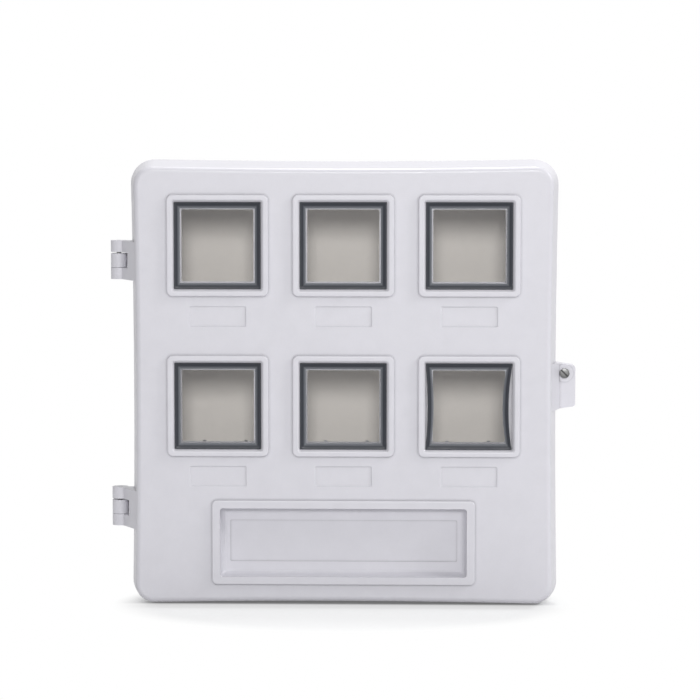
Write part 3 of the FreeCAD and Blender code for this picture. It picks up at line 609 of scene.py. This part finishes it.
def material_for(slot, context):
    """The finish of one material slot, made once."""
    name = "meter box " + slot
    found = bpy.data.materials.get(name)
    if found:
        return found
    finish = context.scene.meter_box_finish
    makers = {
        # the housing gets shade painted into its corners; the metals below get it in their slots and
        # corners
        "housing": lambda: moulded(name, finish.housing, gloss=0.36, contrast=0.03,
                                   grain_size=900.0, grain_depth=0.05 * MM, painted_shade=0.5),
        "board": lambda: moulded(name, finish.board, gloss=0.55, contrast=0.04,
                                 grain_size=1500.0, grain_depth=0.03 * MM, cloud_size=35.0),
        "glazing_rubber": lambda: rubber_with_painted_sheen(name, finish.rubber, finish.lip),
        "rubber": lambda: moulded(name, finish.black_rubber, gloss=0.6, contrast=0.10,
                                  grain_size=900.0, grain_depth=0.06 * MM),
        "insulator": lambda: moulded(name, finish.insulator, gloss=0.4, contrast=0.06,
                                     grain_size=700.0, grain_depth=0.05 * MM),
        "steel": lambda: metal(name, finish.zinc, gloss=0.32, tarnish=0.22, stretch=TURNED),
        "zinc": lambda: metal(name, finish.zinc, gloss=0.36, tarnish=0.25, stretch=ALONG_X),
        "dark_steel": lambda: metal(name, finish.dark_steel, gloss=0.36, tarnish=0.3,
                                    stretch=TURNED),
        "brass": lambda: metal(name, finish.brass, gloss=0.3, tarnish=0.3, stretch=ALONG_X),
        "pane": lambda: clear_pane(name),
    }
    return makers[slot]()


def paint(item, slot, context):
    """Gives an object the finish of a material slot in place of whatever it has."""
    material = material_for(slot, context)
    if not item.material_slots:
        item.data.materials.append(material)
    for place in item.material_slots:
        place.material = material


# Meshes

def new_item(name, data):
    """Object in the scene that holds the given data."""
    item = bpy.data.objects.new(name, data)
    bpy.context.collection.objects.link(item)
    return item


def mesh_object(name, bm, crease=30):
    """Object from a bmesh, smooth but for edges sharper than the crease angle."""
    bmesh.ops.recalc_face_normals(bm, faces=bm.faces)
    mesh = bpy.data.meshes.new(name)
    bm.to_mesh(mesh)
    bm.free()
    mesh.shade_smooth()
    mesh.set_sharp_from_angle(angle=math.radians(crease))
    return new_item(name, mesh)


def turned_mesh(name, profile, segments=32, crease=35):
    """Closed turned shape round the Y axis, from (radius, depth) points end to end.

    A radius may also be a function of the turn.
    """
    bm = bmesh.new()
    rings = []
    for radius, depth in profile:
        if radius == 0:
            rings.append([bm.verts.new((0, depth, 0))])
            continue
        ring = []
        for step in range(segments):
            turn = 2 * math.pi * step / segments
            reach = radius(turn) if callable(radius) else radius
            ring.append(bm.verts.new((reach * math.cos(turn), depth, reach * math.sin(turn))))
        rings.append(ring)
    for first, second in zip(rings, rings[1:]):
        join_rings(bm, first, second)
    return mesh_object(name, bm, crease)


def join_rings(bm, first, second):
    """Faces between two rings, either of which may be a single point."""
    count = max(len(first), len(second))
    for step in range(count):
        after = (step + 1) % count
        if len(first) == 1:
            bm.faces.new((first[0], second[after], second[step]))
        elif len(second) == 1:
            bm.faces.new((first[step], first[after], second[0]))
        else:
            bm.faces.new((first[step], first[after], second[after], second[step]))


def dome(radius, rim, height, steps=5):
    """Points of a rounded head, from its crown at depth -height to its rim."""
    points = [(0.0, -height)]
    for step in range(1, steps + 1):
        turn = math.pi / 2 * step / steps
        points.append((radius * math.sin(turn), -rim - (height - rim) * math.cos(turn)))
    return points


def box_cutter(name, size, middle, turn=0.0):
    """Block round a middle, then turned about the Y axis."""
    bm = bmesh.new()
    bmesh.ops.create_cube(bm, size=1)
    bmesh.ops.scale(bm, vec=size, verts=bm.verts)
    bmesh.ops.translate(bm, vec=middle, verts=bm.verts)
    bmesh.ops.rotate(bm, cent=(0, 0, 0), matrix=Matrix.Rotation(turn, 3, "Y"), verts=bm.verts)
    return mesh_object(name, bm)


def carve(item, cutters):
    """Cuts each cutter out of the item and throws the cutter away."""
    for cutter in cutters:
        cut = item.modifiers.new("cut", "BOOLEAN")
        cut.operation = "DIFFERENCE"
        cut.solver = "EXACT"
        cut.object = cutter
    mesh = settle_mesh(item)
    item.modifiers.clear()
    item.data = mesh
    item.data.set_sharp_from_angle(angle=math.radians(30))
    for cutter in cutters:
        bpy.data.objects.remove(cutter)
    return item


def settle_mesh(item):
    """Plain mesh of an object as its modifiers leave it."""
    bpy.context.view_layer.update()
    graph = bpy.context.evaluated_depsgraph_get()
    return bpy.data.meshes.new_from_object(item.evaluated_get(graph), depsgraph=graph)


def shift_mesh(item, offset):
    item.data.transform(Matrix.Translation(offset))
    return item


def dress(item, slot, body, nodes, context):
    """Finishes one piece: its material, its body and the plain nodes that it stands for."""
    paint(item, slot, context)
    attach(item, body)
    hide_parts(*nodes)


# Copies set out by geometry nodes

def set_out(name, copy, places, tree_name, slot, context, facts=None, **sockets):
    """One plain mesh with a copy at every place, as the tree sets them out."""
    tree = shared_tree(tree_name)
    mesh = bpy.data.meshes.new(name)
    mesh.from_pydata([tuple(place) for place in places], [], [])
    for label, (kind, values) in (facts or {}).items():
        attribute = mesh.attributes.new(label, kind, "POINT")
        field = "vector" if kind == "FLOAT_VECTOR" else "value"
        attribute.data.foreach_set(field, values)
    item = new_item(name, mesh)
    modifier = item.modifiers.new("copies", "NODES")
    modifier.node_group = tree
    given = dict(sockets, Copy=copy, Material=material_for(slot, context))
    for socket in tree.interface.items_tree:
        if socket.in_out == "INPUT" and socket.name.replace(" ", "_") in given:
            modifier[socket.identifier] = given[socket.name.replace(" ", "_")]
    result = settle_mesh(item)
    item.modifiers.clear()
    item.data = result
    for label in facts or {}:
        if label in result.attributes:
            result.attributes.remove(result.attributes[label])
    bpy.data.objects.remove(copy)
    return item


def join_items(name, items):
    """One object from several that carry the same material."""
    bm = bmesh.new()
    for item in items:
        bm.from_mesh(item.data)
    mesh = bpy.data.meshes.new(name)
    mesh.materials.append(items[0].data.materials[0])
    bm.to_mesh(mesh)
    bm.free()
    for item in items:
        bpy.data.objects.remove(item)
    return new_item(name, mesh)


# Pieces that several operators share

def window_numbers():
    return range(1, WINDOW_COUNT + 1)


def node_middle(node):
    low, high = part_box(node)
    return (low + high) / 2


def solids_of(node):
    """Lowest and highest corner of each separate solid of a CAD node, in a steady order."""
    bm = bmesh.new()
    bm.from_mesh(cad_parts[node].data)
    bmesh.ops.remove_doubles(bm, verts=bm.verts, dist=1e-6)
    left = set(bm.verts)
    boxes = []
    while left:
        reached = [left.pop()]
        points = []
        while reached:
            vert = reached.pop()
            points.append(vert.co.copy())
            for edge in vert.link_edges:
                other = edge.other_vert(vert)
                if other in left:
                    left.remove(other)
                    reached.append(other)
        low = Vector(min(p[axis] for p in points) for axis in range(3))
        high = Vector(max(p[axis] for p in points) for axis in range(3))
        boxes.append((low, high))
    bm.free()
    boxes.sort(key=lambda corners: (round(corners[0].z, 4), round(corners[0].x, 4)))
    return boxes


def helix(root, crest, pitch, start, end, steps=6):
    """Rings of a thread between two depths, each a radius by turn and its depth."""
    count = round((end - start) / pitch * steps)
    rings = []
    for step in range(count + 1):
        depth = start + (end - start) * step / count
        fade = max(0.0, min(1.0, (depth - start) / pitch, (end - depth) / pitch))

        def reach(turn, depth=depth, fade=fade):
            phase = (depth / pitch - turn / (2 * math.pi)) % 1
            return root + (crest - root) * fade * (1 - abs(2 * phase - 1))

        rings.append((reach, depth))
    return rings


def pan_screw(name, head_radius, head_height, shank_radius, length, hardware, threaded=False):
    """Pan-head screw with a cross recess, seated at depth 0 and pointing along +Y."""
    edge = 0.3 * MM
    rim = head_height * 0.42
    tip = length - 0.8 * MM
    tip_radius = shank_radius * 0.7
    thread_start = 0.2 * MM
    profile = dome(head_radius, rim, head_height)
    profile += [(head_radius, -edge), (head_radius - edge, 0.0), (shank_radius, 0.0)]
    if threaded:
        root = shank_radius - hardware.thread_depth * 0.8
        profile += helix(root, shank_radius, hardware.thread_pitch, thread_start, tip)
    else:
        profile.append((shank_radius, tip))
    profile += [(tip_radius, length), (0.0, length)]
    item = turned_mesh(name, profile, 24)
    size = (head_radius * 1.15, 2 * hardware.recess_depth, hardware.recess_width)
    middle = (0, -head_height, 0)
    cutters = [box_cutter(name + "_cut", size, middle, turn) for turn in (0, math.pi / 2)]
    return carve(item, cutters)


def slot_screw(name, head_radius, head_height, shank_radius, length, hardware):
    """Cheese-head screw with a slot, seated at depth 0 and pointing along +Y."""
    edge = 0.35 * MM
    profile = [(0.0, -head_height), (head_radius - edge, -head_height),
               (head_radius, edge - head_height), (head_radius, 0.0), (shank_radius, 0.0),
               (shank_radius, length), (0.0, length)]
    item = turned_mesh(name, profile, 24)
    size = (head_radius * 2.4, head_height * 0.9, hardware.slot_width)
    return carve(item, [box_cutter(name + "_cut", size, (0, -head_height, 0))])


def seats_of(node, head_height):
    """Points under the heads of a node's screws, which face the front."""
    return [((low.x + high.x) / 2, low.y + head_height, (low.z + high.z) / 2)
            for low, high in solids_of(node)]


def stand_up(item):
    """Turns a shape made round the Y axis to stand round the Z axis."""
    item.data.transform(Matrix.Rotation(math.pi / 2, 4, "X"))
    return item


# Operators

def aim_at(item, point):
    item.rotation_euler = (Vector(point) - item.location).to_track_quat("-Z", "Y").to_euler()


def soft_light(name, place, size, power):
    """Round lamp that faces the box."""
    lamp = bpy.data.lights.new(name, "AREA")
    lamp.shape = "DISK"
    lamp.size = size
    lamp.energy = power
    item = new_item(name, lamp)
    item.location = place
    aim_at(item, LIT_POINT)


def seen_directly(w):
    """One where a ray comes straight from the camera, a mirror or a clear pane."""
    path = w.add("ShaderNodeLightPath").outputs
    straight = w.math("MAXIMUM", path["Is Camera Ray"], path["Is Glossy Ray"])
    return w.math("MAXIMUM", straight, path["Is Transmission Ray"])


class METERBOX_OT_stage(bpy.types.Operator):
    """Sets up the camera, the soft lights, the pale floor and the white surroundings"""
    bl_idname = "meter_box.stage"
    bl_label = "Stage"

    def execute(self, context):
        settings = context.scene.meter_box_stage
        self.camera(context, settings)
        for name, place, size, power in LIGHTS:
            soft_light(name, place, size, getattr(settings, power))
        self.world(context, settings)
        self.floor(settings)
        context.scene.view_settings.view_transform = "Standard"
        return {"FINISHED"}

    def camera(self, context, settings):
        lens = bpy.data.cameras.new("camera")
        lens.lens = lens.sensor_width * settings.camera_distance / settings.view_width
        item = new_item("camera", lens)
        rise = settings.camera_elevation
        turn = settings.camera_azimuth
        back = Vector((math.cos(rise) * math.sin(turn), -math.cos(rise) * math.cos(turn),
                       math.sin(rise))) * settings.camera_distance
        item.location = Vector(settings.aim) + back
        aim_at(item, settings.aim)
        context.scene.camera = item

    def world(self, context, settings):
        world = bpy.data.worlds.new("soft room")
        world.use_nodes = True
        context.scene.world = world
        w = Wiring(world.node_tree)
        room = world.node_tree.nodes["Background"]
        w.feed(room.inputs["Color"], WHITE)
        w.feed(room.inputs["Strength"], settings.world_level)
        white = w.add("ShaderNodeBackground", {"Color": WHITE, "Strength": 1.0})
        both = w.blend(seen_directly(w), room, white)
        w.feed(world.node_tree.nodes["World Output"].inputs["Surface"], both.outputs[0])
        w.arrange()

    def floor(self, settings):
        """Floor that shows the box's shadow close to it, lightened by a painted white glow that is
        least under the box, and is white further out.
        """
        bm = bmesh.new()
        bmesh.ops.create_grid(bm, x_segments=8, y_segments=8, size=FLOOR_HALF)
        item = mesh_object("floor", bm)
        item.location = (0, CAD_BOX[0][1] * PATCH_FORWARD, CAD_BOX[0][2] - FLOOR_GAP)
        material, w, shader = new_material("pale floor")
        material.node_tree.nodes.remove(shader)
        fade = self.floor_glow_share(w, settings)
        pale = w.add("ShaderNodeBsdfDiffuse", {"Color": tuple(settings.floor_colour)})
        white = w.add("ShaderNodeEmission", {"Color": WHITE, "Strength": 1.0})
        # painted shade: the floor that light bounces off is darker near and under the box, which
        # darkens the box's underside and lower edge
        bounce_with_painted_shade = w.scale(tuple(settings.floor_bounce), w.math("SQRT", fade))
        painted_shade_floor = w.add("ShaderNodeBsdfDiffuse", {"Color": bounce_with_painted_shade})
        # the camera sees the lit floor mixed with the painted white glow
        both = w.blend(seen_directly(w), painted_shade_floor, w.blend(fade, pale, white))
        w.feed(material.node_tree.nodes["Material Output"].inputs["Surface"], both.outputs[0])
        w.arrange()
        item.data.materials.append(material)

    def floor_glow_share(self, w, settings):
        """Share of painted white glow, which lightens the box's shadow: least under the box, more
        before it and full outside the patch.
        """
        place = w.add("ShaderNodeTexCoord").outputs["Object"]
        width, depth = settings.floor_patch
        patch = w.add("ShaderNodeVectorMath", {0: place, 1: (1 / width, 1 / depth, 1.0)},
                      operation="MULTIPLY").outputs[0]
        reach = w.add("ShaderNodeVectorMath", {0: patch}, operation="LENGTH").outputs["Value"]
        across = w.add("ShaderNodeSeparateXYZ", {0: place}).outputs["Y"]
        lift = w.ease(across, settings.under_edge, settings.under_lift, settings.floor_lift)
        return w.ease(reach, settings.patch_edge, lift, 1.0)


class METERBOX_OT_housing(bpy.types.Operator):
    """Finishes the moulded base and cover"""
    bl_idname = "meter_box.housing"
    bl_label = "Housing"

    def execute(self, context):
        for node in ("base_box", "cover"):
            paint(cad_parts[node], "housing", context)
        return {"FINISHED"}


class METERBOX_OT_windows(bpy.types.Operator):
    """Finishes the clear panes and fits the rubber seals round them"""
    bl_idname = "meter_box.windows"
    bl_label = "Windows"

    def execute(self, context):
        settings = context.scene.meter_box_window
        for number in window_numbers():
            paint(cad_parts[f"window_pane_{number}"], "pane", context)
        low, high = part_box("window_seal_1")
        half = (high.x - low.x) / 2
        seal = self.square(settings, half, high.y - low.y)
        middles = [node_middle(f"window_pane_{number}") for number in window_numbers()]
        places = [(middle.x, high.y, middle.z) for middle in middles]
        flat = [value for place in places for value in place]
        facts = {"middle": ("FLOAT_VECTOR", flat)}
        for label in BOWS:
            facts[label] = ("FLOAT", [0.0] * (WINDOW_COUNT - 1) + [getattr(settings, label)])
        item = set_out("glazing_seals", seal, places, "Bowed Seals", "glazing_rubber", context,
                       facts, Half_Width=half)
        dress(item, "glazing_rubber", COVER,
              [f"window_seal_{number}" for number in window_numbers()], context)
        return {"FINISHED"}

    def square(self, settings, half, rise):
        """Closed strip round a square, high at the outside and thin at the inside.

        The attribute lip goes from nought at half its width to one at the inner edge, and sets how much
        painted sheen the rubber shows there.
        """
        width = settings.seal_width
        groove = settings.seal_groove
        crest = 0.18 * width
        toe = 0.28 * rise
        slope = (rise - toe) / (width - crest)

        def on_slope(inset, sunk=0.0):
            return (inset, rise - (inset - crest) * slope - sunk)

        line = ((0.46, 0.0), (0.49, groove), (0.53, groove), (0.56, 0.0))
        profile = [(0.0, 0.0), (0.0, rise * 0.86), (0.04 * width, rise), (crest * 0.9, rise),
                   on_slope(crest * 1.4)]
        profile += [on_slope(share * width, sunk) for share, sunk in line]
        profile += [on_slope(0.93 * width), (width, toe * 0.75), (width, 0.0)]
        corners = [(-1, -1), (1, -1), (1, 1), (-1, 1)]
        bm = bmesh.new()
        lip = bm.verts.layers.float.new("lip")
        rings = []
        steps = settings.seal_steps
        for first, second in zip(corners, corners[1:] + corners[:1]):
            for step in range(steps):
                share = step / steps
                x = first[0] + (second[0] - first[0]) * share
                z = first[1] + (second[1] - first[1]) * share
                rings.append([bm.verts.new((x * (half - inset), -height, z * (half - inset)))
                              for inset, height in profile])
        for ring in rings:
            for (inset, height), vert in zip(profile, ring):
                vert[lip] = max(0.0, inset / width - 0.5) * 2.0
        for first, second in zip(rings, rings[1:] + rings[:1]):
            join_rings(bm, first, second)
        return mesh_object("seal_square", bm, 25)


class METERBOX_OT_interior(bpy.types.Operator):
    """Finishes the board, rail, bars, pillars and door seal"""
    bl_idname = "meter_box.interior"
    bl_label = "Interior"

    def execute(self, context):
        for node, slot in (("meter_board", "board"), ("breaker_rail", "zinc"),
                           ("neutral_bar", "brass"), ("earth_bar", "brass"),
                           ("bar_feet", "insulator"), ("door_seal", "rubber"),
                           ("lock_insert", "brass"), ("lock_clip", "steel")):
            paint(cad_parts[node], slot, context)
        return {"FINISHED"}


class METERBOX_OT_screws(bpy.types.Operator):
    """Sets out the cross-head screws of the board, meters, rail and bars"""
    bl_idname = "meter_box.screws"
    bl_label = "Screws"

    def execute(self, context):
        hardware = context.scene.meter_box_hardware
        head_radius = hardware.head_width / 2
        for order, (node, threaded) in enumerate((
                ("board_screws", False), ("meter_hanger_screws", True),
                ("rail_screws", False), ("bar_screws", False))):
            low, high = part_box(node)
            length = high.y - low.y - hardware.head_height
            copy = pan_screw(node + "_copy", head_radius, hardware.head_height,
                             hardware.shank_width / 2, length, hardware, threaded)
            item = set_out(node + "_crossed", copy, seats_of(node, hardware.head_height),
                           "Set Out Copies", "steel", context,
                           Most_Turn=math.pi, Seed=hardware.seed + order)
            dress(item, "steel", BOX, [node], context)
        return {"FINISHED"}


class METERBOX_OT_terminals(bpy.types.Operator):
    """Sets out the slotted clamping screws of the neutral and earth bars"""
    bl_idname = "meter_box.terminals"
    bl_label = "Terminal Screws"

    def execute(self, context):
        hardware = context.scene.meter_box_hardware
        for order, node in enumerate(("neutral_bar_screws", "earth_bar_screws")):
            low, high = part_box(node)
            head_radius = (high.z - low.z) / 2
            height = hardware.terminal_head_height
            copy = slot_screw(node + "_copy", head_radius, height,
                              hardware.terminal_width / 2, high.y - low.y - height, hardware)
            item = set_out(node + "_slotted", copy, seats_of(node, height), "Set Out Copies",
                           "steel", context, Most_Turn=math.pi, Seed=hardware.seed + 10 + order)
            dress(item, "steel", BOX, [node], context)
        return {"FINISHED"}


class METERBOX_OT_hinges(bpy.types.Operator):
    """Turns the two hinge pins with bevelled ends"""
    bl_idname = "meter_box.hinges"
    bl_label = "Hinge Pins"

    def execute(self, context):
        hardware = context.scene.meter_box_hardware
        for node in ("hinge_pin_upper", "hinge_pin_lower"):
            low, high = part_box(node)
            radius = hardware.hinge_pin_width / 2
            edge = hardware.hinge_pin_edge
            inner = radius - edge * 0.6
            profile = [(0.0, low.z), (inner, low.z), (radius, low.z + edge),
                       (radius, high.z - edge), (inner, high.z), (0.0, high.z)]
            item = stand_up(turned_mesh(node + "_turned", profile, 32))
            middle = node_middle(node)
            shift_mesh(item, (middle.x, middle.y, 0))
            dress(item, "steel", BOX, [node], context)
        return {"FINISHED"}


class METERBOX_OT_lock(bpy.types.Operator):
    """Cuts the lock screw with its slotted head and its thread"""
    bl_idname = "meter_box.lock"
    bl_label = "Lock Screw"

    def execute(self, context):
        hardware = context.scene.meter_box_hardware
        low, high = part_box("lock_screw")
        front, back = (corner.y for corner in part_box("lock_clip"))
        head = (high.x - low.x) / 2
        seat = low.y + hardware.lock_head_height
        shank = hardware.lock_shank_width / 2
        neck = shank - hardware.lock_groove
        edge = 0.3 * MM
        play = 0.1 * MM
        crest = shank + 0.25 * MM
        root = crest - hardware.thread_depth
        thread_end = high.y - 0.5 * MM
        crown = ((0.0, 0.0), (0.45, 0.05), (0.84, 0.2), (0.95, 0.45), (1.0, 0.95))
        profile = [(head * share, low.y + drop * MM) for share, drop in crown]
        profile += [(head, seat - edge), (head - edge, seat), (shank, seat),
                    (shank, front - play), (neck, front - play), (neck, back + play),
                    (root, back + play)]
        profile += helix(root, crest, hardware.thread_pitch, back + 3 * play, thread_end)
        profile += [(root * 0.8, high.y), (0.0, high.y)]
        item = turned_mesh("lock_screw_slotted", profile, 48)
        size = (head * 2.4, 2 * hardware.lock_slot_depth, hardware.lock_slot_width)
        carve(item, [box_cutter("lock_slot", size, (0, low.y, 0), hardware.lock_slot_turn)])
        middle = node_middle("lock_screw")
        shift_mesh(item, (middle.x, 0, middle.z))
        dress(item, "dark_steel", "lock_screw", ["lock_screw"], context)
        return {"FINISHED"}


class METERBOX_OT_grommets(bpy.types.Operator):
    """Turns the stepped cable grommets and clips them into the bottom wall"""
    bl_idname = "meter_box.grommets"
    bl_label = "Cable Grommets"

    def execute(self, context):
        settings = context.scene.meter_box_grommet
        boxes = solids_of("cable_grommets")
        widths = sorted({round(high.x - low.x, 4) for low, high in boxes})
        made = []
        for order, width in enumerate(widths):
            alike = [pair for pair in boxes if abs(pair[1].x - pair[0].x - width) < MM]
            low, high = alike[0]
            copy = stand_up(self.turned(settings, width / 2, low.z, high.z, order))
            places = [((a.x + b.x) / 2, (a.y + b.y) / 2, 0.0) for a, b in alike]
            made.append(set_out(f"grommets_{order}", copy, places, "Set Out Copies", "rubber",
                                context, Most_Turn=0.0, Seed=0))
        item = join_items("cable_grommets_stepped", made)
        dress(item, "rubber", BOX, ["cable_grommets"], context)
        return {"FINISHED"}

    def turned(self, settings, reach, low, high, order):
        """Blind cup with a lip on each side of the wall and steps down to its tip."""
        skin = settings.skin
        radius = reach - settings.lip
        ring_low = low + settings.step + skin
        ring_high = high - skin
        tip = radius - skin - settings.step
        tip_edge = 0.5 * MM
        lip_edge = 0.6 * MM
        clip_edge = 0.2 * MM
        tread, riser = 0.7 * MM, 0.35 * MM
        steps = settings.steps
        outside = [(0.0, low), (tip - tip_edge, low), (tip, low + tip_edge)]
        for step in range(steps):
            share = (step + 1) / steps
            across = tip + (radius - skin - tip) * share
            height = low + (ring_low - skin - low) * share
            outside += [(across - tread, height - riser), (across, height)]
        profile = outside + [
            (reach - lip_edge, ring_low - skin), (reach, ring_low - skin + lip_edge),
            (reach, ring_low - clip_edge), (reach - clip_edge, ring_low), (radius, ring_low),
            (radius, ring_high), (reach - clip_edge, ring_high), (reach, ring_high + clip_edge),
            (reach - settings.bevel, high), (radius - skin, high), (radius - skin, ring_low),
            (tip, low + skin), (0.0, low + skin)]
        return turned_mesh(f"grommet_{order}", profile, 48)


OPERATORS = (
    METERBOX_OT_stage,
    METERBOX_OT_housing,
    METERBOX_OT_windows,
    METERBOX_OT_interior,
    METERBOX_OT_screws,
    METERBOX_OT_terminals,
    METERBOX_OT_hinges,
    METERBOX_OT_lock,
    METERBOX_OT_grommets,
)


class METERBOX_PT_panel(bpy.types.Panel):
    """Lists the settings of the meter box and the steps that make it"""
    bl_idname = "METERBOX_PT_panel"
    bl_label = "Meter Box"
    bl_space_type = "VIEW_3D"
    bl_region_type = "UI"
    bl_category = "Meter Box"

    def draw(self, context):
        for name, group in SETTINGS.items():
            box = self.layout.box()
            for label in group.__annotations__:
                box.prop(getattr(context.scene, name), label)
        for operator in OPERATORS:
            self.layout.operator(operator.bl_idname)


# Running

def register():
    for name, group in SETTINGS.items():
        bpy.utils.register_class(group)
        setattr(bpy.types.Scene, name, PointerProperty(type=group))
    for operator in OPERATORS:
        bpy.utils.register_class(operator)
    bpy.utils.register_class(METERBOX_PT_panel)


def unregister():
    bpy.utils.unregister_class(METERBOX_PT_panel)
    for operator in reversed(OPERATORS):
        bpy.utils.unregister_class(operator)
    for name, group in reversed(SETTINGS.items()):
        delattr(bpy.types.Scene, name)
        bpy.utils.unregister_class(group)


def main():
    register()
    for operator in OPERATORS:
        result = getattr(bpy.ops.meter_box, operator.bl_idname.split(".")[1])()
        if "FINISHED" not in result:
            raise RuntimeError(operator.bl_label + " was not finished")


if __name__ == "__main__":
    main()
